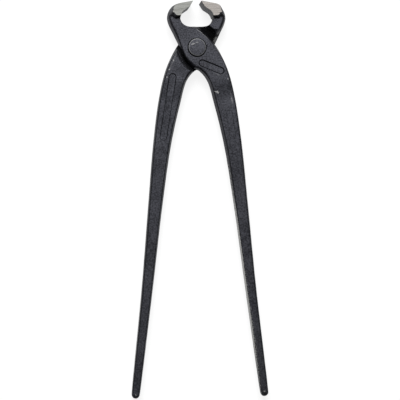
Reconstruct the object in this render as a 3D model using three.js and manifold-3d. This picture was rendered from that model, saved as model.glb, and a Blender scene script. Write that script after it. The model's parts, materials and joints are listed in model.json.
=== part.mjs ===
// Concreters' nippers: two drop-forged steel levers that cross in a lap joint and turn on one rivet.
// Each lever is a handle, a flat cheek at the joint and a hooked jaw with a cutting edge, in one piece.
// The two levers are the same forging: turned half round about the tool's length, one becomes the other.
//
// Millimetres and degrees. The tool lies flat on a bench: +Y runs along it towards the jaws, +Z is the
// rivet's axis, and the origin is on the bench under the middle of the tool. A lever's outline is given
// with its handle upright, about the pivot, as the front lever lies: jaw to the left, handle to the right.
import * as THREE from 'three';
import { mergeVertices } from 'three/addons/utils/BufferGeometryUtils.js';
import Module from 'manifold-3d';

const wasm = await Module();
wasm.setup();

// The joint
const REST_OPENING = 12; // angle between the two handles as the tool lies
const JOINT_THICKNESS = 13; // both cheeks together
const LAP_GAP = 0.3; // oiled gap between the two cheeks
const SEAT_CLEARANCE = 0.5; // play round the other lever's cheek in its seat
const SEAT_FLARE = 0.4; // how far the seat's wall leans out, from the lap to the face
const HEEL_CLEARANCE = 1.35; // play at the root of the lever's own handle, where the seat comes closer in
const HEEL_FLARE = 1.6; // and its wall leans out more
const HEEL_BEARING = 330; // of the middle of that stretch from the pivot
const HEEL_SPREAD = 60; // from there to where the seat is round

// The rivet and its hole
const SHANK_RADIUS = 4.75;
const RIVET_HEAD_RADIUS = 6.25;
const RIVET_HEAD_DEPTH = 2.2; // sunk into the cheek
const RIVET_HEAD_RISE = 0.8; // stands proud of the cheek
const RIVET_EDGE_ROUND = 0.7;
const RIVET_PLAY = 0.25; // round the shank and under the heads
const HEAD_GROOVE = 0.35; // ring left open round each head
const STAKE_RADIUS = 0.8; // punched nick that locks the front head
const STAKE_DEPTH = 1.1;
const STAKE_BEARING = 8; // of the nick from the rivet, anticlockwise from +X as the tool lies

// The handle: a drop is a distance below the pivot, an out is how far the outer edge stands there
// from the centre line, and a width runs from that edge inwards
const HANDLE_REACH = 250; // pivot to the handle's end
const HANDLE_END_OUT = 22.65;
const HANDLE_END_WIDTH = 5.7;
const HANDLE_END_ROUND = 3.2;
const HANDLE_END_THICKNESS = 6.2;
const GRIP_DROP = 172;
const GRIP_OUT = 22.6;
const GRIP_WIDTH = 7.8;
const GRIP_THICKNESS = 7.4;
const MIDDLE_DROP = 115;
const MIDDLE_OUT = 23.5;
const MIDDLE_WIDTH = 9.9;
const MIDDLE_THICKNESS = 8.6;
const SHOULDER_DROP = 70;
const SHOULDER_OUT = 24.1;
const SHOULDER_WIDTH = 12.6;
const SHOULDER_THICKNESS = 9.8;
const ROOT_DROP = 40;
const ROOT_OUT = 23.2;
const ROOT_WIDTH = 15.4;
const ROOT_THICKNESS = 11;
const WAIST_DROP = 24;
const WAIST_OUT = 21.45;
const WAIST_WIDTH = 16.6;
const HANDLE_SOFTNESS = 1.6; // draft and rounding of a forged edge, as seen from the front
const END_BEARINGS = [15, 40, 65, 90]; // of the sections round the handle's end

// The cheek leans across the centre line and is widest at the rivet
const CROTCH_REACH = 16.4; // pivot to where the two handles part
const HIP_DROP = 13.5; // outer edge beside the crotch
const HIP_OUT = 19.1;
const CHEEK_LEAN = 32.5;
const CHEEK_WIDTH = 23.3;
const CHEEK_FOOT_REACH = 8.8; // pivot to the cheek's lower end
const CHEEK_FOOT_WIDTH = 22.8;
const CHEEK_SOFTNESS = 1.9;
const NECK_REACH = 9.6; // pivot to the cheek's upper end
const NECK_TO_MOUTH = 11; // half widths there, to the mouth's side and to the back
const NECK_TO_BACK = 8.75;

// The jaw: reaches and levels are above the pivot, half widths are from the centre line
const JAW_REACH = 32.3;
const JAW_HALF_WIDTH = 18.4;
const BACK_RADIUS = 11;
const BACK_LEVEL = 21.9; // of the middle of the rounded back
const BACK_START = 200; // bearings between which the back is round
const BACK_END = 121;
const MOUTH_FLOOR = 15.6;
const MOUTH_RADIUS = 5.8;
const MOUTH_HALF_WIDTH = 9.1;
const NECK_BEARINGS = [270, 235, 207]; // in the mouth, of the sections up the neck
const MOUTH_END = 125; // bearing where the round mouth runs out into the lip
const HEAD_WIDTH = 23; // length of the cutting edge
const FLARE_START = 180; // bearings in the mouth between which the neck widens into the head
const FLARE_END = 160;
const HEAD_SHARES = [0.26, 0.44, 0.66, 0.84]; // along the round back, of the sections up to the mouth's end
const BEVEL_LENGTH = 4.6; // inner face ground to the cutting edge
const BEVEL_LEAN = 36;
const EDGE_LAND = 0.35; // blunt left on the cutting edge
const EDGE_PAST = 0.45; // cutting edge past the centre line, towards the other jaw
const BACK_SOFTNESS = 2.8;
const NECK_SOFTNESS = 0.8; // mouth side of the neck
const GROUND_SOFTNESS = 0.2; // arris left by grinding

// How a section's edge runs, in shares of its softness: inwards from the side, and down from the face
const EDGE_PROFILE = [[0.75, 0.4], [0.85, 0.1], [1, 0]];
const MOST_SOFTNESS = 0.45; // share of a section's width or half thickness that one edge may take
const SPAN_STEPS = 3; // sections from one station to the next
const ROUND_SIDES = 48;
const QUARTER_ROUND = [0, 30, 60, 90]; // bearings of the points on a rounded rivet edge

const steel = { roughness: 0.55, metalness: 0.6 };
const blackened = new THREE.MeshStandardMaterial({ color: 0x3b3b3f, ...steel });
const blackenedRear = new THREE.MeshStandardMaterial({ color: 0x37373b, ...steel });
const rivetSteel = new THREE.MeshStandardMaterial({ color: 0x434347, roughness: 0.42, metalness: 0.7 });

const radians = THREE.MathUtils.degToRad;
const pivot = new THREE.Vector3();
const cheekFace = JOINT_THICKNESS / 2;
const headFace = HEAD_WIDTH / 2;
const seatRadius = Math.max(CROTCH_REACH, MOUTH_FLOOR) + SEAT_CLEARANCE;
const heelRadius = CHEEK_WIDTH / 2 + HEEL_CLEARANCE;
const mouthCentre = new THREE.Vector3(MOUTH_RADIUS - MOUTH_HALF_WIDTH, MOUTH_FLOOR + MOUTH_RADIUS, 0);
const backCentre = new THREE.Vector3(BACK_RADIUS - JAW_HALF_WIDTH, BACK_LEVEL, 0);
const edge = new THREE.Vector3(EDGE_PAST, JAW_REACH, 0);

function polar(centre, radius, bearing) {
  const angle = radians(bearing);
  return new THREE.Vector3(Math.cos(angle), Math.sin(angle), 0).multiplyScalar(radius).add(centre);
}

// A station is one cross-section of the lever. Its mouth point lies on the edge that runs up the outside
// of the handle, over the cheek and round the mouth, and its back point on the edge that runs up the
// inside of the handle, under the cheek and round the back of the jaw. An edge's softness is how far
// its draft and rounding reach in from the outline.
function station(mouth, back, thickness, mouthSoftness, backSoftness) {
  return { mouth, back, half: thickness / 2, mouthSoftness, backSoftness };
}

function handleStation(drop, out, width, thickness) {
  const mouth = new THREE.Vector3(out, -drop, 0);
  const back = new THREE.Vector3(out - width, -drop, 0);
  return station(mouth, back, thickness, HANDLE_SOFTNESS, HANDLE_SOFTNESS);
}

// The handle's end is rounded: its last sections shrink along a quarter circle.
function handleEnd() {
  return END_BEARINGS.map((bearing) => {
    const share = Math.sin(radians(bearing));
    const drop = HANDLE_REACH - HANDLE_END_ROUND * (1 - Math.cos(radians(bearing)));
    const out = HANDLE_END_OUT - (HANDLE_END_WIDTH * (1 - share)) / 2;
    return handleStation(drop, out, HANDLE_END_WIDTH * share, HANDLE_END_THICKNESS * share);
  });
}

function handle() {
  return [
    handleStation(GRIP_DROP, GRIP_OUT, GRIP_WIDTH, GRIP_THICKNESS),
    handleStation(MIDDLE_DROP, MIDDLE_OUT, MIDDLE_WIDTH, MIDDLE_THICKNESS),
    handleStation(SHOULDER_DROP, SHOULDER_OUT, SHOULDER_WIDTH, SHOULDER_THICKNESS),
    handleStation(ROOT_DROP, ROOT_OUT, ROOT_WIDTH, ROOT_THICKNESS),
    handleStation(WAIST_DROP, WAIST_OUT, WAIST_WIDTH, JOINT_THICKNESS),
  ];
}

// A section square across the cheek, at a distance up its leaning middle line from the pivot.
function cheekStation(reach, toMouth, toBack, mouthSoftness) {
  const middle = polar(pivot, reach, 90 + CHEEK_LEAN);
  const mouth = polar(middle, toMouth, CHEEK_LEAN);
  const back = polar(middle, -toBack, CHEEK_LEAN);
  return station(mouth, back, JOINT_THICKNESS, mouthSoftness, CHEEK_SOFTNESS);
}

function cheek() {
  const hip = new THREE.Vector3(HIP_OUT, -HIP_DROP, 0);
  const crotch = new THREE.Vector3(0, -CROTCH_REACH, 0);
  const halfFoot = CHEEK_FOOT_WIDTH / 2;
  const half = CHEEK_WIDTH / 2;
  return [
    station(hip, crotch, JOINT_THICKNESS, CHEEK_SOFTNESS, CHEEK_SOFTNESS),
    cheekStation(-CHEEK_FOOT_REACH, halfFoot, halfFoot, CHEEK_SOFTNESS),
    cheekStation(0, half, half, CHEEK_SOFTNESS),
    cheekStation(NECK_REACH, NECK_TO_MOUTH, NECK_TO_BACK, CHEEK_SOFTNESS),
  ];
}

// The neck rises from the cheek: straight behind, and round the lower half of the mouth in front.
function neck() {
  const foot = cheek().at(-1).back;
  const top = polar(backCentre, BACK_RADIUS, BACK_START);
  return NECK_BEARINGS.map((bearing, i) => {
    const mouth = polar(mouthCentre, MOUTH_RADIUS, bearing);
    const back = foot.clone().lerp(top, (i + 1) / NECK_BEARINGS.length);
    return station(mouth, back, JOINT_THICKNESS, NECK_SOFTNESS, BACK_SOFTNESS);
  });
}

// The head widens to the full length of the cutting edge and hooks over to it: round behind and in the
// mouth, then a flat ground facet on top and a ground bevel inside.
function head() {
  const behind = (share) => {
    const bearing = THREE.MathUtils.lerp(BACK_START, BACK_END, share);
    return polar(backCentre, BACK_RADIUS, bearing);
  };
  const inside = (bearing) => polar(mouthCentre, MOUTH_RADIUS, bearing);
  const [flareFoot, flareTop, hook, hookEnd] = HEAD_SHARES.map(behind);
  const lip = polar(edge, -BEVEL_LENGTH, 90 - BEVEL_LEAN);
  const shoulder = inside(MOUTH_END).lerp(lip, 0.5);
  const facet = behind(1).lerp(edge, 0.5);
  const round = (FLARE_END + MOUTH_END) / 2;
  return [
    station(inside(FLARE_START), flareFoot, JOINT_THICKNESS, NECK_SOFTNESS, BACK_SOFTNESS),
    station(inside(FLARE_END), flareTop, HEAD_WIDTH, GROUND_SOFTNESS, BACK_SOFTNESS),
    station(inside(round), hook, HEAD_WIDTH, GROUND_SOFTNESS, BACK_SOFTNESS),
    station(inside(MOUTH_END), hookEnd, HEAD_WIDTH, GROUND_SOFTNESS, BACK_SOFTNESS),
    station(shoulder, behind(1), HEAD_WIDTH, GROUND_SOFTNESS, GROUND_SOFTNESS),
    station(lip, facet, HEAD_WIDTH, GROUND_SOFTNESS, GROUND_SOFTNESS),
  ];
}

function cuttingEdge() {
  const inner = polar(edge, -EDGE_LAND, 90 - BEVEL_LEAN / 2);
  return station(inner, edge, HEAD_WIDTH, GROUND_SOFTNESS, GROUND_SOFTNESS);
}

// Stations between the given ones, along smooth curves through the points of each edge.
function refine(stations) {
  const spans = stations.length - 1;
  const mouthEdge = new THREE.CatmullRomCurve3(stations.map((s) => s.mouth));
  const backEdge = new THREE.CatmullRomCurve3(stations.map((s) => s.back));
  return Array.from({ length: spans * SPAN_STEPS + 1 }, (_, i) => {
    const from = stations[Math.floor(i / SPAN_STEPS)];
    const to = stations[Math.ceil(i / SPAN_STEPS)];
    const blend = (key) => THREE.MathUtils.lerp(from[key], to[key], (i % SPAN_STEPS) / SPAN_STEPS);
    const along = i / (spans * SPAN_STEPS);
    const thickness = 2 * blend('half');
    const softness = [blend('mouthSoftness'), blend('backSoftness')];
    return station(mouthEdge.getPoint(along), backEdge.getPoint(along), thickness, ...softness);
  });
}

// The ring of points round one section: each side has its widest point at half height, then drafts in
// and rounds over to a flat face.
function ring({ mouth, back, half, mouthSoftness, backSoftness }) {
  const across = back.clone().sub(mouth);
  const width = across.length();
  const most = MOST_SOFTNESS * Math.min(width, half);
  const quarter = (softness) => EDGE_PROFILE.map(([inwards, below]) => {
    const soft = Math.min(softness, most);
    return [inwards * soft, half - below * soft];
  });
  const mouthSide = quarter(mouthSoftness);
  const backSide = quarter(backSoftness).map(([inwards, height]) => [width - inwards, height]);
  const upper = [...mouthSide, ...backSide.toReversed()];
  const lower = upper.toReversed().map(([inwards, height]) => [inwards, -height]);
  return [[0, 0], ...upper, [width, 0], ...lower].map(([inwards, height]) => {
    const point = mouth.clone().addScaledVector(across, inwards / width);
    return point.setZ(height);
  });
}

// One closed skin over a row of rings.
function loft(rings) {
  const sides = rings[0].length;
  const last = (rings.length - 1) * sides;
  const faces = [];
  for (let start = 0; start < last; start += sides) {
    for (let i = 0; i < sides; i += 1) {
      const next = (i + 1) % sides;
      const [a, b, c, d] = [start + i, start + next, start + sides + next, start + sides + i];
      faces.push(a, c, b, a, d, c);
    }
  }
  for (let i = 1; i < sides - 1; i += 1) {
    faces.push(0, i, i + 1, last, last + i + 1, last + i);
  }
  const skin = new THREE.BufferGeometry().setFromPoints(rings.flat());
  return skin.setIndex(faces);
}

function solid(geometry) {
  const bare = geometry.clone();
  bare.deleteAttribute('normal');
  bare.deleteAttribute('uv');
  const merged = mergeVertices(bare);
  const vertProperties = new Float32Array(merged.attributes.position.array);
  const triVerts = new Uint32Array(merged.index.array);
  return new wasm.Manifold(new wasm.Mesh({ numProp: 3, vertProperties, triVerts }));
}

function geometryOf(manifold) {
  const { vertProperties, triVerts } = manifold.getMesh();
  const geometry = new THREE.BufferGeometry();
  geometry.setAttribute('position', new THREE.BufferAttribute(vertProperties, 3));
  geometry.setIndex(new THREE.BufferAttribute(triVerts, 1));
  return geometry;
}

// The wall of a lever's seat at a height: round, but closer in at the root of the lever's own handle.
function seatRing(height) {
  const depth = (LAP_GAP / 2 - height) / cheekFace;
  return Array.from({ length: ROUND_SIDES }, (_, i) => {
    const bearing = (360 * i) / ROUND_SIDES;
    const off = Math.abs(180 - THREE.MathUtils.euclideanModulo(HEEL_BEARING - bearing + 180, 360));
    const round = THREE.MathUtils.smoothstep(off, 0, HEEL_SPREAD);
    const reach = THREE.MathUtils.lerp(heelRadius, seatRadius, round);
    const lean = depth * THREE.MathUtils.lerp(HEEL_FLARE, SEAT_FLARE, round);
    return polar(pivot, reach + lean, bearing).setZ(height);
  });
}

// A round cutter about the rivet's axis, or beside it, between two heights.
function roundCutter(radius, bottom, top, place = pivot) {
  const cutter = new THREE.CylinderGeometry(radius, radius, top - bottom, ROUND_SIDES);
  cutter.rotateX(Math.PI / 2);
  cutter.translate(place.x, place.y, (bottom + top) / 2);
  return solid(cutter);
}

// A lever: the forging, with half its thickness cut away where the other lever's cheek seats, and the
// rivet's hole, counterbored for the head.
function lever() {
  const outline = [...handleEnd(), ...handle(), ...cheek(), ...neck(), ...head()];
  const forging = solid(loft([...refine(outline), cuttingEdge()].map(ring)));
  const sunk = cheekFace - RIVET_HEAD_DEPTH - RIVET_PLAY;
  const seat = solid(loft([LAP_GAP / 2, -JOINT_THICKNESS].map(seatRing)));
  return forging
    .subtract(seat)
    .subtract(roundCutter(SHANK_RADIUS + RIVET_PLAY, -HEAD_WIDTH, HEAD_WIDTH))
    .subtract(roundCutter(RIVET_HEAD_RADIUS + HEAD_GROOVE, sunk, HEAD_WIDTH));
}

function stakedLever() {
  const rim = RIVET_HEAD_RADIUS + HEAD_GROOVE;
  const place = polar(pivot, rim, STAKE_BEARING - REST_OPENING / 2);
  return lever().subtract(roundCutter(STAKE_RADIUS, cheekFace - STAKE_DEPTH, HEAD_WIDTH, place));
}

// The rivet, turned about its axis: a shank and two upset heads with rounded edges.
function rivetGeometry() {
  const face = cheekFace + RIVET_HEAD_RISE;
  const underside = cheekFace - RIVET_HEAD_DEPTH;
  const rounding = QUARTER_ROUND.toReversed().map((bearing) => {
    const reach = RIVET_HEAD_RADIUS - RIVET_EDGE_ROUND * (1 - Math.cos(radians(bearing)));
    const height = face - RIVET_EDGE_ROUND * (1 - Math.sin(radians(bearing)));
    return new THREE.Vector2(reach, height);
  });
  const upper = [
    new THREE.Vector2(0, face),
    ...rounding,
    new THREE.Vector2(RIVET_HEAD_RADIUS, underside),
    new THREE.Vector2(SHANK_RADIUS, underside),
  ];
  const lower = upper.map((point) => new THREE.Vector2(point.x, -point.y));
  return new THREE.LatheGeometry([...lower, ...upper.toReversed()], ROUND_SIDES).rotateX(Math.PI / 2);
}

function piece(name, geometry, material) {
  const mesh = new THREE.Mesh(geometry, material);
  mesh.name = name;
  return mesh;
}

const frontLever = piece('front_lever', geometryOf(stakedLever()), blackened);
frontLever.rotation.z = radians(REST_OPENING / 2);

const rearLever = piece('rear_lever', geometryOf(lever()), blackenedRear);
rearLever.rotation.z = radians(REST_OPENING / 2);
const turnedOver = new THREE.Group();
turnedOver.rotation.y = Math.PI;
turnedOver.add(rearLever);

const rivet = piece('pivot_rivet', geometryOf(solid(rivetGeometry())), rivetSteel);

const tool = new THREE.Group();
tool.add(frontLever, turnedOver, rivet);
const extent = new THREE.Box3().setFromObject(tool, true);
tool.position.set(0, -(extent.min.y + extent.max.y) / 2, headFace);

const nippers = new THREE.Group();
nippers.add(tool);

export default nippers;
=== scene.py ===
# Concreters' nippers: two forged levers crossed on one rivet, lying on a bench with the jaws open a little.
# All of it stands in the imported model's frame: +Y runs up the tool to the jaws, +Z is the rivet's axis.
import json
import math
from collections import namedtuple

import bmesh
import bpy
from mathutils import Matrix, Vector, noise
from mathutils.geometry import interpolate_bezier


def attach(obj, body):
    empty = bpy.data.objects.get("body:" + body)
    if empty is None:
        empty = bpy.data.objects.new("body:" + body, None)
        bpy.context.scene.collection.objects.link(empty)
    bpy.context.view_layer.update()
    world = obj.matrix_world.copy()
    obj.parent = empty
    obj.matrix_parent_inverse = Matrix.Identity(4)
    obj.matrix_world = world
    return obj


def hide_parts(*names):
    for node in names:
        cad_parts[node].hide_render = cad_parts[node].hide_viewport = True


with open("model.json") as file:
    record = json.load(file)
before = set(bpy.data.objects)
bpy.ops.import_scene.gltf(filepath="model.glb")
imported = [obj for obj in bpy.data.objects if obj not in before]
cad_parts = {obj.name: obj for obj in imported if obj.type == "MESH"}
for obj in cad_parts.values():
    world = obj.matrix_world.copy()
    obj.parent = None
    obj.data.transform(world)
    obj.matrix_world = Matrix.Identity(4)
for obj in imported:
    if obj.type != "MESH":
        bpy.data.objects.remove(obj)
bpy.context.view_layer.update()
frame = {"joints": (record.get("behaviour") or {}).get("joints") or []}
scene = bpy.context.scene

# The levers are one and the same drop forging of carbon steel, phosphated black, its jaw ground bright:
# turned half round about the tool's length, one becomes the other. It is drawn in millimetres about the
# rivet's axis, with its handle upright, as the front lever lies: jaw to the left, handle to the right.
MM = 0.001
REST_OPENING = 12.0  # degrees between the two handles
CHEEK_FACE = 6.5  # from the middle plane to the cheek's outer face
LAP_GAP = 0.15  # how far each cheek stops short of the middle plane
HANDLE_REACH = 250.0  # pivot to the handle's end
HANDLE_END = (22.65, 5.7, 6.2)  # outer edge, width and thickness
HANDLE_END_ROUND = 3.2  # how far the end's rounding reaches up the handle
END_BEARINGS = (6, 20, 38, 56, 73, 90)  # where sections stand round that quarter circle
HANDLE_STATIONS = [  # drop below the pivot, then as at the end, from the grip up to the joint
    (172.0, 22.6, 7.8, 7.4),
    (115.0, 23.5, 9.9, 8.6),
    (70.0, 24.1, 12.6, 9.8),
    (40.0, 23.2, 15.4, 11.0),
    (24.0, 21.45, 16.6, 2 * CHEEK_FACE),
]
HANDLE_SIDE = (1.8, 1.3)  # width of the draft and rounding of a forged edge, and of its rounding alone
HANDLE_INSIDE = (2.2, 1.0)
CROTCH = Vector((0.0, -16.4, 0.0))
HIP = Vector((19.1, -13.5, 0.0))
CHEEK_LEAN = 32.5  # degrees that the cheek's middle line leans to the left
CHEEK_FOOT = (-8.8, 11.4, 11.4)  # up the cheek's middle line, and out to the mouth's side and the back
CHEEK_MIDDLE = (0.0, 11.65, 11.65)
CHEEK_TOP = (9.6, 11.0, 8.75)
HIP_SIDE = (1.6, 1.0)
CROTCH_SIDE = (3.2, 2.4)
CHEEK_SIDE = (2.0, 0.5)
CORNER_SIDE = (4.0, 0.5)
CHEEK_FOOT_BACK = (3.3, 2.5)
CHEEK_BACK = (2.1, 1.5)
NECK_SIDE = (0.8, 0.4)
MOUTH_FLOOR_SIDE = (1.4, 0.4)
MOUTH_CENTRE = Vector((-3.3, 21.4, 0.0))
MOUTH_RADIUS = 5.8
MOUTH_END = 125  # bearing where the round mouth runs out into the lip
BACK_CENTRE = Vector((-7.4, 21.9, 0.0))
BACK_RADIUS = 11.0
BACK_START = 200.0  # bearings between which the back is round
BACK_END = 121.0
JAW_BACK = (2.8, 1.9)
NECK_STATIONS = [  # share of the way up the back, bearing in the mouth and the edge there
    (1 / 3, 270, MOUTH_FLOOR_SIDE),
    (2 / 3, 235, NECK_SIDE),
    (1, 207, NECK_SIDE),
]
EDGE = Vector((0.45, 32.3, 0.0))
EDGE_LAND = 0.35  # blunt left on the cutting edge
BEVEL_LENGTH = 4.6  # inner face ground to the cutting edge
BEVEL_LEAN = 36.0
GROUND_FACE = 11.5  # level that the boss is ground to
BOSS_FACE = 12.3  # level of the boss as forged
BOSS_FOOT_BACK = (5.0, 2.2)
BOSS_BACK = (4.3, 2.2)
BOSS_TOP_BACK = (3.1, 1.9)
FACET_BACK = (2.1, 1.1)
ARRIS = (0.2, 0.1)  # edge left by grinding
HOOK_STATIONS = [  # bearing in the mouth, share of the round back, half thickness and the two edges
    (180, 0.26, CHEEK_FACE, NECK_SIDE, JAW_BACK),
    (160, 0.44, BOSS_FACE, ARRIS, BOSS_FOOT_BACK),
    (142, 0.66, BOSS_FACE, ARRIS, BOSS_BACK),
    (MOUTH_END, 0.84, BOSS_FACE, ARRIS, BOSS_TOP_BACK),
]
FLARE_BOW = 0.75  # how far the foot of the boss bows up behind, in stations
BOW_START = 0.25  # share of the face's width where the bow starts
BOW_POWER = 3

Section = namedtuple("Section", "mouth back half mouth_soft mouth_round back_soft back_round")


def at_bearing(angle, reach, centre=Vector()):
    """The point at a distance from a centre, in a direction counted anticlockwise from +X."""
    turn = math.radians(angle)
    return centre + Vector((reach * math.cos(turn), reach * math.sin(turn), 0.0))


def handle_section(drop, out, width, thickness):
    """A section of the handle: below the pivot, its outer edge that far out, and its width inwards."""
    outer = Vector((out, -drop, 0.0))
    inner = Vector((out - width, -drop, 0.0))
    return Section(outer, inner, thickness / 2, *HANDLE_SIDE, *HANDLE_INSIDE)


def handle_end():
    """The handle's end, rounded off along a quarter circle."""
    out, width, thickness = HANDLE_END
    rounding = []
    for angle in END_BEARINGS:
        share = math.sin(math.radians(angle))
        drop = HANDLE_REACH - HANDLE_END_ROUND * (1 - math.cos(math.radians(angle)))
        middle = out - width / 2
        rounding.append(handle_section(drop, middle + width * share / 2, width * share, thickness * share))
    return rounding


def handle():
    return [handle_section(*station) for station in HANDLE_STATIONS]


def cheek_section(reach, to_mouth, to_back, mouth_side, back_side):
    """A section square across the cheek, at a distance up its leaning middle line from the pivot."""
    middle = at_bearing(90 + CHEEK_LEAN, reach)
    mouth = at_bearing(CHEEK_LEAN, to_mouth, middle)
    back = at_bearing(CHEEK_LEAN, -to_back, middle)
    return Section(mouth, back, CHEEK_FACE, *mouth_side, *back_side)


def cheek():
    return [
        Section(HIP, CROTCH, CHEEK_FACE, *HIP_SIDE, *CROTCH_SIDE),
        cheek_section(*CHEEK_FOOT, CHEEK_SIDE, CHEEK_FOOT_BACK),
        cheek_section(*CHEEK_MIDDLE, CHEEK_SIDE, CHEEK_BACK),
        cheek_section(*CHEEK_TOP, CORNER_SIDE, CHEEK_BACK),
    ]


def neck():
    """Straight behind, and round the lower half of the mouth in front."""
    foot = cheek()[-1].back
    top = at_bearing(BACK_START, BACK_RADIUS, BACK_CENTRE)
    rising = []
    for share, angle, side in NECK_STATIONS:
        mouth = at_bearing(angle, MOUTH_RADIUS, MOUTH_CENTRE)
        rising.append(Section(mouth, foot.lerp(top, share), CHEEK_FACE, *side, *JAW_BACK))
    return rising


def head():
    """The jaw widens into a boss and hooks over: round behind and in the mouth, then flat to the edge."""

    def behind(share):
        return at_bearing(BACK_START + (BACK_END - BACK_START) * share, BACK_RADIUS, BACK_CENTRE)

    def inside(angle):
        return at_bearing(angle, MOUTH_RADIUS, MOUTH_CENTRE)

    lip = at_bearing(90 - BEVEL_LEAN, -BEVEL_LENGTH, EDGE)
    shoulder = inside(MOUTH_END).lerp(lip, 0.5)
    facet = behind(1).lerp(EDGE, 0.5)
    land = at_bearing(90 - BEVEL_LEAN / 2, -EDGE_LAND, EDGE)
    hook = [
        Section(inside(angle), behind(share), half, *mouth_side, *back_side)
        for angle, share, half, mouth_side, back_side in HOOK_STATIONS
    ]
    return hook + [
        Section(shoulder, behind(1), BOSS_FACE, *ARRIS, *FACET_BACK),
        Section(lip, facet, BOSS_FACE, *ARRIS, *ARRIS),
        Section(land, EDGE, BOSS_FACE, *ARRIS, *ARRIS),
    ]


def eased(share):
    return share * share * (3 - 2 * share)


def smooth_span(points, i, count):
    """Points along the smooth curve from the i-th point of a row to the next."""
    start, end = points[i], points[i + 1]
    before = points[i - 1] if i else 2 * start - end
    after = points[i + 2] if i + 2 < len(points) else 2 * end - start
    a, b, c = (math.sqrt((q - p).length) for p, q in ((before, start), (start, end), (end, after)))
    leaving = (start - before) / a - (end - before) / (a + b) + (end - start) / b
    arriving = (end - start) / b - (after - start) / (b + c) + (after - end) / c
    return interpolate_bezier(start, start + leaving * b / 3, end - arriving * b / 3, end, count)


SECTION_SPACING = 0.9
LEAST_STEPS = 7


def drawn_out(sections):
    """The sections with more of them in between, each with its place along the row."""
    rows = []
    mouths = [s.mouth for s in sections]
    backs = [s.back for s in sections]
    for i, (a, b) in enumerate(zip(sections, sections[1:])):
        longest = max((b.mouth - a.mouth).length, (b.back - a.back).length)
        steps = max(LEAST_STEPS, round(longest / SECTION_SPACING))
        mouth_curve = smooth_span(mouths, i, steps + 1)
        back_curve = smooth_span(backs, i, steps + 1)
        for k in range(steps):
            share = eased(k / steps)
            sizes = [x + (y - x) * share for x, y in zip(a[2:], b[2:])]
            rows.append((i + k / steps, Section(mouth_curve[k], back_curve[k], *sizes)))
    rows.append((len(sections) - 1, sections[-1]))
    return rows


MOST_SOFT = 0.45  # share of a section's width or half thickness that one edge may take
DRAFT_ANGLE = 14.0
ROUND_DEPTH = 1.2  # how many times deeper than wide a rounding is
ROUND_STEPS = 7
FLASH_LAND = 0.5
MOST_LAND = 0.2  # share of the half thickness that the land may take
FACE_STEPS = 14


def quarter(soft, rounding, half):
    """Half of one side of a section: a land left by the flash, the draft, and the rounding to the face."""
    soft = min(soft, MOST_SOFT * half)
    rounding = min(rounding, soft)
    land = min(FLASH_LAND, MOST_LAND * half)
    points = [(0.0, land)]
    for k in range(ROUND_STEPS + 1):
        angle = math.radians(DRAFT_ANGLE + (90 - DRAFT_ANGLE) * k / ROUND_STEPS)
        inwards = soft - rounding * math.cos(angle)
        points.append((inwards, half - ROUND_DEPTH * rounding * (1 - math.sin(angle))))
    return points


def ring(section, half_at):
    """The points round one section, from the mouth side over the front face and back under the rear."""
    across = section.back - section.mouth
    width = across.length
    most = MOST_SOFT * width
    mouth_soft = min(section.mouth_soft, most)
    back_soft = min(section.back_soft, most)
    upper = quarter(mouth_soft, section.mouth_round, half_at(0.0))
    for k in range(1, FACE_STEPS):
        share = k / FACE_STEPS
        upper.append((mouth_soft + (width - mouth_soft - back_soft) * share, half_at(share)))
    behind = quarter(back_soft, section.back_round, half_at(1.0))
    upper += [(width - inwards, height) for inwards, height in reversed(behind)]
    lower = [(inwards, -height) for inwards, height in reversed(upper)]
    points = []
    for inwards, height in upper + lower:
        point = section.mouth + across * (inwards / width)
        point.z = height
        points.append(point)
    return points


SKIN_WAVES = 0.16  # how close the forged skin's waves are, and how high
SKIN_UNEVEN = 0.05
CUT_SLACK = 1e-5


def forging():
    """The raw lever, drawn out of its handle's end section by section, with the boss ground flat."""
    sections = handle_end() + handle() + cheek() + neck() + head()
    head_start = len(sections) - len(head()) - 1

    def half_along(along):
        i = max(0, min(int(along), len(sections) - 2))
        a, b = sections[i].half, sections[i + 1].half
        return a + (b - a) * eased(max(0.0, along - i))

    bm = bmesh.new()
    place = bm.verts.layers.int.new("place")
    end = None
    for along, section in drawn_out(sections):
        bow = FLARE_BOW if along > head_start else 0.0

        def half_at(share):
            behind = max(0.0, (share - BOW_START) / (1 - BOW_START))
            return half_along(along - bow * behind**BOW_POWER)

        points = ring(section, half_at)
        if end is None:
            made = bmesh.ops.create_circle(bm, cap_ends=True, segments=len(points), radius=1.0)
            end = made["verts"][0].link_faces[0]
            for i, vert in enumerate(end.verts):
                vert[place] = i
        else:
            made = bmesh.ops.extrude_face_region(bm, geom=[end])
            first = len(bm.faces) == len(points) + 2
            if not first:  # the first cap closes the handle's end, and a later one would be left inside
                bmesh.ops.delete(bm, geom=[end], context="FACES_ONLY")
            end = next(item for item in made["geom"] if isinstance(item, bmesh.types.BMFace))
        for vert in end.verts:
            vert.co = points[vert[place]]
    bmesh.ops.recalc_face_normals(bm, faces=bm.faces)
    bm.normal_update()
    for vert in bm.verts:
        if vert.co.y < MOUTH_CENTRE.y:
            vert.co += vert.normal * SKIN_UNEVEN * noise.noise(vert.co * SKIN_WAVES)
    for side in (1, -1):
        whole = bm.verts[:] + bm.edges[:] + bm.faces[:]
        level = Vector((0.0, 0.0, side * GROUND_FACE))
        cut = bmesh.ops.bisect_plane(
            bm, geom=whole, dist=CUT_SLACK, plane_co=level, plane_no=level.normalized(), clear_outer=True
        )
        rim = [item for item in cut["geom_cut"] if isinstance(item, bmesh.types.BMEdge)]
        bmesh.ops.holes_fill(bm, edges=rim, sides=0)
    bmesh.ops.recalc_face_normals(bm, faces=bm.faces)
    return bm


def as_object(name, bm):
    mesh = bpy.data.meshes.new(name)
    bm.to_mesh(mesh)
    bm.free()
    thing = bpy.data.objects.new(name, mesh)
    scene.collection.objects.link(thing)
    return thing


ROUND_SIDES = 96
AXIS_SLACK = 1e-4


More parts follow.
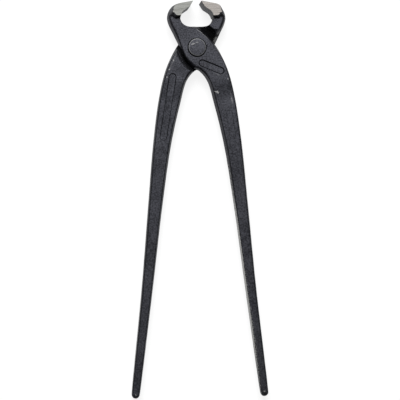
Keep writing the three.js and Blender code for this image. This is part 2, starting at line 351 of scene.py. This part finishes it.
def spun(name, profile, sides=ROUND_SIDES, centre=Vector()):
    """A solid turned about an upright axis from a profile of reaches and heights, axis to axis."""
    bm = bmesh.new()
    row = [bm.verts.new((reach, 0.0, height)) for reach, height in profile]
    line = [bm.edges.new(pair) for pair in zip(row, row[1:])]
    bmesh.ops.spin(
        bm, geom=row + line, cent=(0, 0, 0), axis=(0, 0, 1), angle=math.tau, steps=sides, use_merge=True
    )
    bmesh.ops.remove_doubles(bm, verts=bm.verts, dist=AXIS_SLACK)
    bmesh.ops.recalc_face_normals(bm, faces=bm.faces)
    bmesh.ops.translate(bm, verts=bm.verts, vec=centre)
    return as_object(name, bm)


SEAT_RADIUS = 16.9
SEAT_HEEL = 13.0  # closer in, at the root of the lever's own handle
HEEL_BEARING = 330.0
HEEL_SPREAD = 60.0  # degrees from there to where the seat is round
SEAT_DRAFT = 0.06  # how much the wall leans out for its depth
HEEL_DRAFT = 0.12
SEAT_CORNER = 0.28
NECK_RIM = 0.25  # rounding of the seat's rim
HEEL_RIM = 1.6
RIM_POWER = 3
# Where the seat's wall has rings, closer together at the corner and at the rim.
SEAT_DEPTHS = (0, 0.1, 0.28, 1.6, 3.0, 4.2, 4.7, 5.1, 5.5, 5.8, 6.1, 6.3, 6.45, 6.6, 6.75, 7.2)
CUTTER_FLARE = 6.0
CUTTER_TOP = GROUND_FACE + 2.0


def seat_cutter():
    """What is cut away for the other lever's cheek: round at the neck, closer in and soft at the handle."""
    profile = [(0.0, LAP_GAP)]
    profile += [(SEAT_RADIUS, LAP_GAP - depth) for depth in SEAT_DEPTHS]
    profile += [(SEAT_RADIUS + CUTTER_FLARE, -CUTTER_TOP), (0.0, -CUTTER_TOP)]
    cutter = spun("seat", profile)
    for vert in cutter.data.vertices:
        depth = max(0.0, LAP_GAP - vert.co.z)
        reach = vert.co.xy.length
        if reach < AXIS_SLACK or depth > GROUND_FACE:
            continue
        angle = math.degrees(math.atan2(vert.co.y, vert.co.x))
        off = abs((angle - HEEL_BEARING + 180) % 360 - 180) / HEEL_SPREAD
        heel = 1 - eased(min(1.0, off))
        corner = SEAT_CORNER - min(depth, SEAT_CORNER)
        inset = SEAT_CORNER - math.sqrt(SEAT_CORNER**2 - corner**2)
        rim = NECK_RIM + (HEEL_RIM - NECK_RIM) * heel
        lift = max(0.0, depth - (CHEEK_FACE + LAP_GAP - rim)) / rim
        draft = SEAT_DRAFT + (HEEL_DRAFT - SEAT_DRAFT) * heel
        wall = SEAT_RADIUS + (SEAT_HEEL - SEAT_RADIUS) * heel + draft * depth
        wanted = wall - inset + rim * lift**RIM_POWER
        vert.co.x *= wanted / reach
        vert.co.y *= wanted / reach
    return cutter


RAMP_INNER = Vector((-10.4, 14.2, 0.0))
RAMP_OUTER = Vector((-13.6, 14.3, 0.0))
RAMP_SLOPE = 0.93
RAMP_WIDTH = 9.0
RAMP_LENGTH = 9.0
RAMP_START = 0.6
RAMP_EDGE = 3.6  # width of its rounded outer edge, and how far that drops
RAMP_EDGE_DROP = 5.0
RAMP_STEPS = 24
PAST_LAP = 0.1  # the cutter's reach past the middle plane


def ramp_cutter():
    """The forged slope from the neck's outer side down into the seat, rounded off along its outer edge."""
    along = (RAMP_OUTER - RAMP_INNER).normalized()
    down = Vector((along.y, -along.x, 0.0)) * math.copysign(1.0, along.x)
    edge = cheek()[-1].back
    up = (neck()[-1].back - edge).normalized()
    inward = Vector((up.y, -up.x, 0.0))
    bm = bmesh.new()
    bmesh.ops.create_grid(bm, x_segments=RAMP_STEPS, y_segments=RAMP_STEPS, size=0.5)
    for vert in bm.verts:
        run = (vert.co.y + 0.5) * RAMP_LENGTH
        point = RAMP_INNER + along * ((vert.co.x + 0.5) * RAMP_WIDTH - RAMP_START) + down * run
        beside = 1 - (point - edge).dot(inward) / RAMP_EDGE
        depth = run * RAMP_SLOPE + RAMP_EDGE_DROP * max(0.0, beside) ** 2
        point.z = min(depth, CHEEK_FACE + PAST_LAP) - CHEEK_FACE
        vert.co = point
    raised = bmesh.ops.extrude_face_region(bm, geom=bm.faces[:])
    for item in raised["geom"]:
        if isinstance(item, bmesh.types.BMVert):
            item.co.z = -CUTTER_TOP
    bmesh.ops.recalc_face_normals(bm, faces=bm.faces)
    return as_object("ramp", bm)


SHANK_RADIUS = 4.75
RIVET_PLAY = 0.25
HEAD_RADIUS = 6.25
HEAD_GROOVE = 0.35  # ring left open round the head
HEAD_DEPTH = 2.2  # sunk into the cheek
RIM_BREAK = 0.25
RIM_CLEAR = 0.05  # the cutter's rim above the face
COUNTERBORE_OFF = Vector((-0.1, -0.14, 0.0))


def rivet_hole_cutters():
    """The rivet's hole and the counterbore for its head, a little off centre, with its rim broken."""
    bore = SHANK_RADIUS + RIVET_PLAY
    sunk = CHEEK_FACE - HEAD_DEPTH - RIVET_PLAY
    groove = HEAD_RADIUS + HEAD_GROOVE
    hole = [(0.0, -GROUND_FACE), (bore, -GROUND_FACE), (bore, GROUND_FACE), (0.0, GROUND_FACE)]
    counterbore = [
        (0.0, sunk),
        (groove, sunk),
        (groove, CHEEK_FACE - RIM_BREAK),
        (groove + RIM_BREAK, CHEEK_FACE + RIM_CLEAR),
        (groove + RIM_BREAK, GROUND_FACE),
        (0.0, GROUND_FACE),
    ]
    return [spun("rivet_hole", hole), spun("counterbore", counterbore, centre=COUNTERBORE_OFF)]


PANEL_SLOPE = 0.6
PANEL_SIDES = 40
PANEL_ABOVE = 2  # depths that the cutter stands above the face


def panel_cutter(first, last, radius, depth):
    """A sunk panel with round ends and sloping sides, from one end's centre on the face to the other's."""
    bm = bmesh.new()
    for end in (first, last):
        side = math.copysign(1.0, end.z)
        for sunk in (depth, -PANEL_ABOVE * depth):
            centre = Matrix.Translation(end - Vector((0.0, 0.0, side * sunk)))
            reach = radius - PANEL_SLOPE * sunk
            bmesh.ops.create_circle(bm, cap_ends=False, segments=PANEL_SIDES, radius=reach, matrix=centre)
    hull = bmesh.ops.convex_hull(bm, input=bm.verts)
    inside = {item for key in ("geom_interior", "geom_unused") for item in hull[key]}
    spare = [item for item in inside if isinstance(item, bmesh.types.BMVert)]
    bmesh.ops.delete(bm, geom=spare, context="VERTS")
    bmesh.ops.recalc_face_normals(bm, faces=bm.faces)
    return as_object("panel", bm)


# Each panel's two end centres, its radius and its depth.
JOINT_PANEL = (Vector((2.35, -11.4, CHEEK_FACE)), Vector((14.7, -18.1, CHEEK_FACE)), 2.6, 1.2)
SHORT_PANEL = (Vector((17.4, -48.5, 5.3)), Vector((17.8, -64.7, 5.0)), 2.2, 0.35)
LONG_PANEL = (Vector((15.2, -22.6, -6.4)), Vector((17.6, -64.9, -5.0)), 2.7, 0.85)


def cutters():
    """All that is cut out of or pressed into a lever, with its sunk panels: two in front, one behind."""
    panels = [panel_cutter(*panel) for panel in (JOINT_PANEL, SHORT_PANEL, LONG_PANEL)]
    return [seat_cutter(), ramp_cutter(), *rivet_hole_cutters(), *panels]


SHARP_ANGLE = math.radians(34)
SAME_POINT = 0.002
LEVEL = 0.99  # upright share of a flat face's normal
NEAR = 0.05
ROUNDING_TILT = 0.62  # and of the normal where the painted shade on a rounded edge is darkest
ROUNDING_SPREAD = 0.36


def cleaned(mesh):
    """Points that the cuts left doubled are joined, and the faces between them go."""
    bm = bmesh.new()
    bm.from_mesh(mesh)
    bmesh.ops.remove_doubles(bm, verts=bm.verts, dist=SAME_POINT)
    bmesh.ops.dissolve_degenerate(bm, edges=bm.edges, dist=SAME_POINT)
    bmesh.ops.triangulate(bm, faces=[face for face in bm.faces if len(face.verts) > 4])
    bmesh.ops.dissolve_degenerate(bm, edges=bm.edges, dist=SAME_POINT)
    bm.to_mesh(mesh)
    bm.free()


def machined(name, tools):
    """A forging with what the tools take away, its ground faces, milled seat and rounded edges marked, the
    last two for painted shade.
    """
    lever = as_object(name, forging())
    for cutter in tools:
        step = lever.modifiers.new(cutter.name, "BOOLEAN")
        step.operation = "DIFFERENCE"
        step.solver = "EXACT"
        step.object = cutter
    settled = bpy.context.evaluated_depsgraph_get()
    rough = lever.data
    lever.data = bpy.data.meshes.new_from_object(lever.evaluated_get(settled))
    lever.data.name = name
    lever.modifiers.clear()
    bpy.data.meshes.remove(rough)
    for cutter in tools:
        bpy.data.meshes.remove(cutter.data)
    mesh = lever.data
    cleaned(mesh)
    ground = mesh.attributes.new("ground", "FLOAT", "CORNER")
    milled = mesh.attributes.new("milled", "FLOAT", "CORNER")
    rounded = mesh.attributes.new("rounded", "FLOAT", "CORNER")
    # Marks for painted shade: the rounded edges, darkest where the normal leans as ROUNDING_TILT says, and
    # the flat faces at the middle plane, which are the seat's floor.
    for face in mesh.polygons:
        upright = abs(face.normal.z)
        height = face.center.z
        off = (upright - ROUNDING_TILT) / ROUNDING_SPREAD
        in_seat = height < LAP_GAP and face.center.xy.length < SEAT_RADIUS
        for corner in face.loop_indices:
            ground.data[corner].value = float(upright > LEVEL and abs(height) > GROUND_FACE - NEAR)
            milled.data[corner].value = float(upright > LEVEL and abs(height - LAP_GAP) < NEAR)
            rounded.data[corner].value = 0.0 if in_seat else max(0.0, 1 - off * off)
    mesh.shade_smooth()
    mesh.set_sharp_from_angle(angle=SHARP_ANGLE)
    weighting = lever.modifiers.new("even_shading", "WEIGHTED_NORMAL")
    weighting.keep_sharp = True
    return lever


PIVOT = Vector(frame["joints"][0]["pos_m"])
TO_REST = Matrix.Rotation(math.radians(REST_OPENING / 2), 4, "Z")
IN_FRONT = Matrix.Translation(PIVOT) @ TO_REST @ Matrix.Scale(MM, 4)
BEHIND = Matrix.Translation(PIVOT) @ Matrix.Rotation(math.pi, 4, "Y") @ TO_REST @ Matrix.Scale(MM, 4)


# The Mix node's colour sockets go by number, because its others have the same names.
MIX_FACTOR = 0
MIX_FIRST = 6
MIX_SECOND = 7
MIX_RESULT = 2
RAGGED = 1.6  # how much the grain breaks up a stroke's sides
STROKE_CORE = 0.6  # share of a stroke's width that is solid


class Shade:
    """A value in a shader: arithmetic on it adds Math nodes, and node() adds a node of any other kind."""

    def __init__(self, tree, socket=None):
        self.tree = tree
        self.socket = socket

    def node(self, kind, settings, inputs, output=0):
        made = self.tree.nodes.new(kind)
        for name, value in settings.items():
            setattr(made, name, value)
        for name, value in inputs.items():
            if isinstance(value, Shade):
                self.tree.links.new(value.socket, made.inputs[name])
            else:
                made.inputs[name].default_value = value
        return Shade(self.tree, made.outputs[output])

    def math(self, operation, first, second):
        return self.node("ShaderNodeMath", {"operation": operation}, {0: first, 1: second})

    def __add__(self, other):
        return self.math("ADD", self, other)

    def __sub__(self, other):
        return self.math("SUBTRACT", self, other)

    def __rsub__(self, other):
        return self.math("SUBTRACT", other, self)

    def __mul__(self, other):
        return self.math("MULTIPLY", self, other)

    __radd__ = __add__
    __rmul__ = __mul__

    def step(self, low, high):
        """0 below low, 1 above high and smooth between."""
        settings = {"interpolation_type": "SMOOTHSTEP"}
        return self.node("ShaderNodeMapRange", settings, {"Value": self, "From Min": low, "From Max": high})

    def mixed(self, first, second):
        """From one colour to another as this value goes from 0 to 1."""
        inputs = {MIX_FACTOR: self, MIX_FIRST: first, MIX_SECOND: second}
        return self.node("ShaderNodeMix", {"data_type": "RGBA"}, inputs, output=MIX_RESULT)

    def marked(self, name):
        """A mark that the mesh carries."""
        return self.node("ShaderNodeAttribute", {"attribute_name": name}, {}, output="Fac")

    def along(self, start, end, width, ragged):
        """1 along a line from one place to another, with ragged sides, and 0 away from it."""
        run = end - start
        length = run.length / 2 + width
        turn = math.atan2(run.y, run.x)
        places = {"Vector": self, "Location": (start + end) / 2, "Rotation": (0.0, 0.0, turn)}
        places["Scale"] = (length, width, width)
        spread = self.node("ShaderNodeMapping", {"vector_type": "TEXTURE"}, places)
        away = self.node("ShaderNodeVectorMath", {"operation": "LENGTH"}, {0: spread}, output="Value")
        return 1 - (away + (ragged - 0.5) * RAGGED).step(STROKE_CORE, 1.0)

    def speckle(self, scale, detail, stretch=(1.0, 1.0, 1.0), turn=0.0):
        """Noise over the piece's own coordinates."""
        places = {"Vector": self, "Scale": stretch, "Rotation": (0.0, 0.0, turn)}
        spread = self.node("ShaderNodeMapping", {}, places)
        return self.node("ShaderNodeTexNoise", {}, {"Vector": spread, "Scale": scale, "Detail": detail})


def new_material(name):
    material = bpy.data.materials.new(name)
    material.use_nodes = True
    shader = material.node_tree.nodes["Principled BSDF"]
    start = Shade(material.node_tree)
    where = start.node("ShaderNodeTexCoord", {}, {}, output="Object")
    return material, shader, where


BLACK = (0.021, 0.0215, 0.0255, 1.0)
GREY_BLACK = (0.069, 0.0705, 0.083, 1.0)
# Painted shade: the seat's floor is near black, where the other lever's cheek shades it.
SEAT_SHADE_BLACK = (0.004, 0.004, 0.0045, 1.0)
# bare steel where rubbed, and the colour of the painted highlights and reflections too
BARE_STEEL_AND_HIGHLIGHT = (0.42, 0.42, 0.41, 1.0)
METALLIC = 0.9
EDGE_TINT = (0.75, 0.75, 0.75, 1.0)
MOTTLE = (1000.0, 3.0)  # how fine a speckle is, and its detail
CLOUD = (60.0, 2.0)
GRAIN = (1500.0, 2.0)
GRIND_LINES = (90.0, 3.0)
GRIND_STRETCH = (1.0, 14.0, 1.0)
GRIND_TURN = 0.5
CLOUD_SHARE = 0.3  # of the black's unevenness, the rest being mottle
TONE_SPREAD = (0.34, 0.66)
GRIND_SPREAD = (0.3, 0.7)
HEEL_SEAT_SHADE = 0.86  # share of the neck's painted shade on the seat's floor that the heel has
# how far the seat floor's painted shade fades between heel and neck
SEAT_SHADE_FADE = 4 * MM
ROUNDED_EDGE_SHADE = 0.9  # how much painted shade darkens the rounded edges
MOTTLE_ROUGH = 0.16
GROUND_SMOOTH = 0.08
OIL_SMOOTH = 0.3
GRAIN_RELIEF = 0.6
RELIEF = 0.2
RELIEF_DEPTH = 0.12 * MM


def black_phosphate(name, rough, ground_steel, wear_and_highlight):
    """Crystalline black phosphate on blasted steel under oil, with bare ground steel where it is marked,
    painted shade on the rounded edges and the seat's floor, and bare steel and painted highlights where the
    lines lie.
    """
    material, shader, where = new_material(name)
    links = material.node_tree.links
    mottle = where.speckle(*MOTTLE)
    cloud = where.speckle(*CLOUD)
    grain = where.speckle(*GRAIN)
    up_tool = where.node("ShaderNodeSeparateXYZ", {}, {0: where}, output="Y")
    at_neck = up_tool.step(PIVOT.y - SEAT_SHADE_FADE, PIVOT.y + SEAT_SHADE_FADE)
    # Painted shade on the seat's floor, a little weaker at the heel; it also makes the floor smoother.
    shaded_seat_floor = where.marked("milled") * (HEEL_SEAT_SHADE + (1 - HEEL_SEAT_SHADE) * at_neck)
    ground = where.marked("ground")
    spots = (mottle * (1 - CLOUD_SHARE) + cloud * CLOUD_SHARE).step(*TONE_SPREAD)
    # Painted shade darkens the rounded edges of the random tone.
    tone_and_edge_shade = spots * (1 - ROUNDED_EDGE_SHADE * where.marked("rounded"))
    black = shaded_seat_floor.mixed(tone_and_edge_shade.mixed(BLACK, GREY_BLACK), SEAT_SHADE_BLACK)
    # Bare steel where rubbed, and painted highlights and reflections, from the lists of lines.
    worn_and_highlit = wear_and_highlight(where, grain)
    lines = where.speckle(*GRIND_LINES, GRIND_STRETCH, GRIND_TURN)
    steel = lines.step(*GRIND_SPREAD).mixed(*ground_steel)
    finish = worn_and_highlit.mixed(ground.mixed(black, steel), BARE_STEEL_AND_HIGHLIGHT)
    links.new(finish.socket, shader.inputs["Base Color"])
    uneven = (mottle - 0.5) * MOTTLE_ROUGH - ground * GROUND_SMOOTH - shaded_seat_floor * OIL_SMOOTH
    links.new((rough + uneven).socket, shader.inputs["Roughness"])
    shader.inputs["Metallic"].default_value = METALLIC
    shader.inputs["Specular Tint"].default_value = EDGE_TINT
    relief = {"Strength": RELIEF, "Distance": RELIEF_DEPTH, "Height": grain * GRAIN_RELIEF + mottle}
    bump = where.node("ShaderNodeBump", {}, relief)
    links.new(bump.socket, shader.inputs["Normal"])
    return material


def rubs_and_highlights(place, marks):
    """Bare steel where use rubbed the black off, and painted highlights and reflections, each a line: its
    ends in the piece's own frame, its width and how much.
    """

    def wear_and_highlight(where, grain):
        # Each line is laid on in bare steel, as wear or as a painted highlight, as the lists give it.
        rubbed = []
        for start, end, width, much in marks:
            line = where.along(place @ Vector(start), place @ Vector(end), width * MM, grain)
            rubbed.append(line * much)
        return sum(rubbed[1:], rubbed[0])

    return wear_and_highlight


# The front lever: left jaw, front cheek and right handle. A nick is punched into the rim of its rivet
# hole to lock the head. The black is chipped off its handle below the joint. A painted highlight lies along
# the cheek's upper edge by the mouth, and a painted reflection of the bench along the handle's inner flank.
STAKE_BEARING = 2.0
STAKE_RADIUS = 0.8
STAKE_TIP_RADIUS = 0.36
STAKE_DEPTH = 1.1
STAKE_SIDES = 24
LEVER_ROUGHNESS = 0.5
FRONT_GROUND = ((0.154, 0.155, 0.145, 1.0), (0.217, 0.219, 0.207, 1.0))
FRONT_RUBS_AND_HIGHLIGHTS = [
    # painted highlight along the cheek's upper edge by the mouth, in three pieces
    ((0.4, 13.2, 6.4), (4.7, 9.4, 6.4), 0.4, 0.16),
    ((4.5, 9.7, 6.4), (5.9, 8.2, 6.4), 0.45, 0.4),
    ((5.7, 8.3, 6.4), (8.7, 5.0, 6.4), 0.4, 0.12),
    ((9.7, -19.3, 6.4), (14.7, -21.9, 6.4), 0.35, 0.1),
    ((18.9, -24.2, 6.3), (19.1, -24.6, 6.3), 0.5, 0.4),
    ((8.5, -32.1, 5.8), (11.2, -33.0, 5.8), 0.6, 0.8),
    ((10.7, -31.9, 5.8), (11.0, -33.7, 5.8), 0.5, 0.8),
    ((19.9, -37.6, 5.7), (20.4, -40.8, 5.6), 0.5, 0.25),
    ((19.6, -30.9, 5.9), (20.5, -45.2, 5.4), 0.4, 0.1),
    # painted reflection of the bench along the handle's inner flank
    ((12.5, -80.0, 2.2), (17.5, -247.0, 1.6), 2.1, 0.95),
    ((19.6, -246.5, 2.7), (20.0, -246.0, 2.7), 0.7, 0.7),
]


def stake_cutter():
    rim = at_bearing(STAKE_BEARING, HEAD_RADIUS + HEAD_GROOVE)
    tip = CHEEK_FACE - STAKE_DEPTH
    profile = [
        (0.0, tip),
        (STAKE_TIP_RADIUS, tip),
        (STAKE_RADIUS, CHEEK_FACE),
        (STAKE_RADIUS, GROUND_FACE),
        (0.0, GROUND_FACE),
    ]
    return spun("stake", profile, STAKE_SIDES, rim)


front_lever = machined("front_lever_forging", [*cutters(), stake_cutter()])
front_lever.data.transform(IN_FRONT)
front_rubs_and_highlights = rubs_and_highlights(IN_FRONT, FRONT_RUBS_AND_HIGHLIGHTS)
front_finish = black_phosphate("blackened_steel_front", LEVER_ROUGHNESS, FRONT_GROUND, front_rubs_and_highlights)
front_lever.data.materials.append(front_finish)
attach(front_lever, "front_half")
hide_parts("front_lever")

# The rear lever: right jaw, rear cheek and left handle, of the same steel and finish, but its ground steel
# is coloured lighter as painted light. The black is worn off in specks along the outer edge of its handle.
# Painted light lies on the neck's outer flank, a painted highlight along the handle's upper outer edge, and
# a painted reflection of the bench along the lower handle's outer flank.
# Painted light: the rear jaw's ground steel is coloured lighter than the front jaw's.
REAR_GROUND_LIT = ((0.202, 0.187, 0.175, 1.0), (0.271, 0.252, 0.237, 1.0))
REAR_RUBS_AND_HIGHLIGHTS = [
    # painted light on the neck's outer flank and slope, in two pieces
    ((-14.8, 12.5, -2.5), (-13.8, 9.5, -2.5), 1.8, 0.2),
    ((-13.4, 8.5, -0.5), (-12.6, 5.5, -0.5), 1.8, 0.4),
    # painted highlight along the handle's upper outer edge
    ((13.1, -3.0, -6.4), (18.2, -18.3, -6.4), 0.45, 0.1),
    ((15.6, -10.6, -6.4), (15.8, -11.1, -6.4), 0.5, 0.4),
    ((17.8, -17.0, -6.4), (18.1, -17.7, -6.4), 0.5, 0.45),
    ((19.0, -22.8, -6.3), (19.2, -23.3, -6.3), 0.5, 0.4),
    # painted reflection of the bench along the lower handle's outer flank
    ((22.5, -165.0, -1.5), (22.6, -248.0, -1.5), 1.4, 0.35),
    ((19.5, -247.4, -2.6), (20.0, -247.0, -2.6), 0.7, 0.7),
]

rear_lever = machined("rear_lever_forging", cutters())
rear_lever.data.transform(BEHIND)
rear_rubs_and_highlights = rubs_and_highlights(BEHIND, REAR_RUBS_AND_HIGHLIGHTS)
rear_finish = black_phosphate("blackened_steel_rear", LEVER_ROUGHNESS, REAR_GROUND_LIT, rear_rubs_and_highlights)
rear_lever.data.materials.append(rear_finish)
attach(rear_lever, "rear_half")
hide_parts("rear_lever")

# The rivet: a steel pin through both cheeks, upset hot into a low round head at each end, then blackened
# with the levers. Each head sits in a counterbore and stands a little proud of the cheek.
HEAD_RISE = 0.8  # above the cheek
HEAD_ROUND = 0.5
HEAD_DOME = 0.12
ROUND_BEARINGS = range(0, 91, 15)
DOME_SHARES = (0.75, 0.5, 0.25, 0.0)


def rivet_profile():
    """From the rear head's middle, along the shank, to the front head's middle."""
    face = CHEEK_FACE + HEAD_RISE
    flat = HEAD_RADIUS - HEAD_ROUND
    front = [(SHANK_RADIUS, CHEEK_FACE - HEAD_DEPTH), (HEAD_RADIUS, CHEEK_FACE - HEAD_DEPTH)]
    for angle in ROUND_BEARINGS:
        reach = flat + HEAD_ROUND * math.cos(math.radians(angle))
        height = face - HEAD_DOME - HEAD_ROUND * (1 - math.sin(math.radians(angle)))
        front.append((reach, height))
    for share in DOME_SHARES:
        front.append((flat * share, face - HEAD_DOME * share * share))
    return [(reach, -height) for reach, height in reversed(front)] + front


HEAD_PLACE = Matrix.Translation(PIVOT) @ Matrix.Scale(MM, 4)

rivet = spun("pivot_rivet_pin", rivet_profile())
rivet.data.shade_smooth()
rivet.data.set_sharp_from_angle(angle=SHARP_ANGLE)
rivet.data.transform(HEAD_PLACE)

HEAD_ROUGHNESS = 0.51
RIM_RUBBED = 0.28
RIM_INSIDE = (5.5 * MM, 5.75 * MM)  # reaches between which the rubbed ring fades in, and out again
RIM_OUTSIDE = (6.0 * MM, 6.2 * MM)
HEAD_STREAKS = [
    ((-3.8, 2.0, 7.25), (-2.1, 2.5, 7.25), 0.75, 0.3),
    ((-0.6, 3.2, 7.25), (0.5, 3.5, 7.25), 0.65, 0.22),
]


def head_wear(where, grain):
    """The heads' rims are rubbed, and the front head has two streaks."""
    flat = {0: where, 1: (1.0, 1.0, 0.0)}
    in_plan = where.node("ShaderNodeVectorMath", {"operation": "MULTIPLY"}, flat)
    ends = {0: in_plan, 1: (PIVOT.x, PIVOT.y, 0.0)}
    reach = where.node("ShaderNodeVectorMath", {"operation": "DISTANCE"}, ends, output="Value")
    rim = reach.step(*RIM_INSIDE) - reach.step(*RIM_OUTSIDE)
    return rim * RIM_RUBBED + rubs_and_highlights(HEAD_PLACE, HEAD_STREAKS)(where, grain)


rivet_finish = black_phosphate("rivet_steel", HEAD_ROUGHNESS, FRONT_GROUND, head_wear)
rivet.data.materials.append(rivet_finish)
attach(rivet, "front_half")
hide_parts("pivot_rivet")

# The bench: a plain white sheet of paper, laid flat under the tool. It takes the tool's soft shadow.
FLOOR_SIZE = 6.0
PAPER = (0.8, 0.8, 0.8, 1.0)
FAINT_PAPER = (0.2, 0.2, 0.2, 1.0)
GLOW = 0.85
WHITE = (1.0, 1.0, 1.0, 1.0)


def white_sheet():
    """White paper, which the camera and the steel's reflections see as brightly lit, shadow and all."""
    material, shader, where = new_material("white_sheet")
    tree = material.node_tree
    tree.nodes.remove(shader)
    seen = where.node("ShaderNodeLightPath", {}, {}, output="Is Camera Ray")
    mirrored = Shade(tree, seen.socket.node.outputs["Is Glossy Ray"])
    through = Shade(tree, seen.socket.node.outputs["Is Transmission Ray"])
    paper = where.node("ShaderNodeBsdfDiffuse", {}, {"Color": PAPER})
    faint = where.node("ShaderNodeBsdfDiffuse", {}, {"Color": FAINT_PAPER})
    glow = where.node("ShaderNodeEmission", {}, {"Color": WHITE, "Strength": GLOW})
    lit = where.node("ShaderNodeAddShader", {}, {0: faint, 1: glow})
    either = seen + mirrored + through
    sheet = where.node("ShaderNodeMixShader", {}, {0: either, 1: paper, 2: lit})
    tree.links.new(sheet.socket, tree.nodes["Material Output"].inputs["Surface"])
    return material


floor_sheet = bmesh.new()
bmesh.ops.create_grid(floor_sheet, x_segments=1, y_segments=1, size=FLOOR_SIZE / 2)
floor = as_object("floor", floor_sheet)
floor.data.materials.append(white_sheet())

# The camera looks down on the tool from a little to its left. The photograph's pixels give its distance
# and field of view, and how it leans.
IMAGE_WIDTH = 400.0
FOCAL_PIXELS = 1589.0
EYE = Vector((-0.08729, -0.00013, 1.1301))
SWING = math.radians(-4.53)
LEAN = -0.0106  # radians

camera = bpy.data.objects.new("camera", bpy.data.cameras.new("camera"))
scene.collection.objects.link(camera)
camera.data.angle = 2 * math.atan(IMAGE_WIDTH / 2 / FOCAL_PIXELS)
camera.matrix_world = (
    Matrix.Translation(EYE) @ Matrix.Rotation(SWING, 4, "Y") @ Matrix.Rotation(LEAN, 4, "Z")
)
scene.camera = camera

# Studio light: one wide soft box, high beyond the jaws and a little to the left, in a dim room. The camera
# sees white past the bench's edges.
KEY_PLACE = Vector((-0.25, 1.4, 2.42))
KEY_AIM = Vector((0.0, 0.08, 0.0))
KEY_SIZE = 1.2
KEY_POWER = 76.0
ROOM = (0.14, 0.14, 0.143, 1.0)

key_lamp = bpy.data.lights.new("key_box", "AREA")
key_lamp.shape = "SQUARE"
key_lamp.size = KEY_SIZE
key_lamp.energy = KEY_POWER
key_box = bpy.data.objects.new("key_box", key_lamp)
key_box.location = KEY_PLACE
key_box.rotation_euler = (KEY_AIM - KEY_PLACE).to_track_quat("-Z", "Y").to_euler()
scene.collection.objects.link(key_box)

world = bpy.data.worlds.new("studio")
world.use_nodes = True
scene.world = world
background = world.node_tree.nodes["Background"]
seen = Shade(world.node_tree).node("ShaderNodeLightPath", {}, {}, output="Is Camera Ray")
world.node_tree.links.new(seen.mixed(ROOM, WHITE).socket, background.inputs["Color"])
scene.view_settings.view_transform = "Standard"
